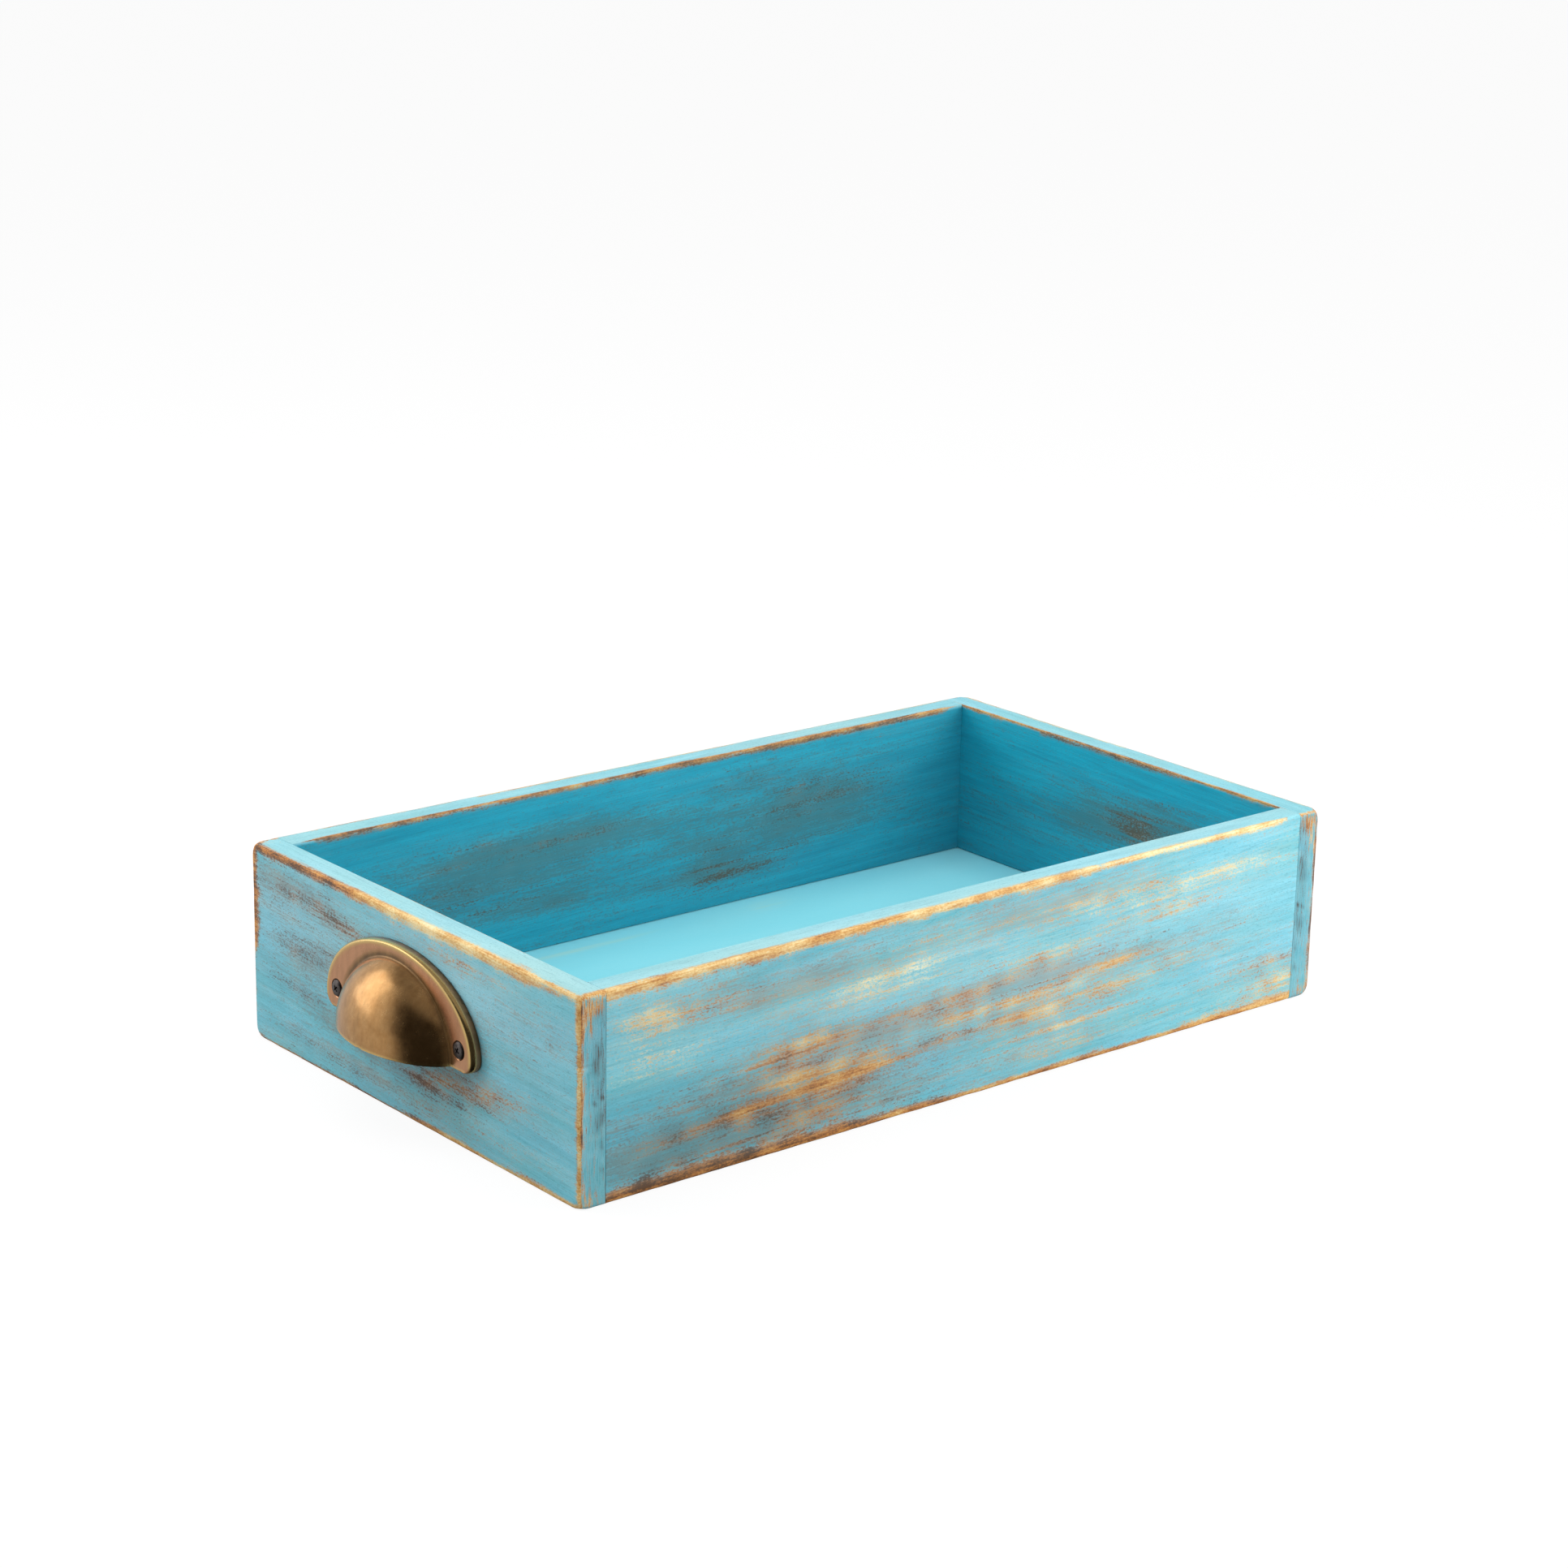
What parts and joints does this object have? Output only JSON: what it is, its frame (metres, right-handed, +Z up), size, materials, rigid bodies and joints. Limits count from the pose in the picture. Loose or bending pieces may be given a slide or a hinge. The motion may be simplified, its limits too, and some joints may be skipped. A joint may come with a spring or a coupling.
{
  "type": "washer toss box",
  "caption": "Shallow open wooden box in worn blue paint with a brass cup pull screwed to each end, for pitching washers or carrying small things.",
  "frame": {"origin": "on the ground under the middle of the box", "axes": "+X along the box towards the right end, +Y towards the back, +Z up"},
  "size_m": [0.389, 0.203, 0.075],
  "materials": {
    "painted_wood": "sky-blue chalky paint, rubbed through to golden-brown wood along the edges",
    "painted_panel": "smooth satin aqua paint",
    "antique_brass": "antique brass, satin, rubbed bright on its edges",
    "dark_screw": "blackened steel, worn grey on the slots",
    "steel_brad": "bright drawn wire"
  },
  "bodies": {
    "root": {"left_end_board": "painted_wood", "right_end_board": "painted_wood", "front_side_board": "painted_wood", "back_side_board": "painted_wood", "floor_panel": "painted_panel", "left_cup_pull": "antique_brass", "left_pull_screw_1": "dark_screw", "left_pull_screw_2": "dark_screw", "right_cup_pull": "antique_brass", "right_pull_screw_1": "dark_screw", "right_pull_screw_2": "dark_screw", "left_corner_brad_1": "steel_brad", "left_corner_brad_2": "steel_brad", "left_corner_brad_3": "steel_brad", "left_corner_brad_4": "steel_brad", "left_corner_brad_5": "steel_brad", "left_corner_brad_6": "steel_brad", "right_corner_brad_1": "steel_brad", "right_corner_brad_2": "steel_brad", "right_corner_brad_3": "steel_brad", "right_corner_brad_4": "steel_brad", "right_corner_brad_5": "steel_brad", "right_corner_brad_6": "steel_brad"}
  },
  "joints": []
}
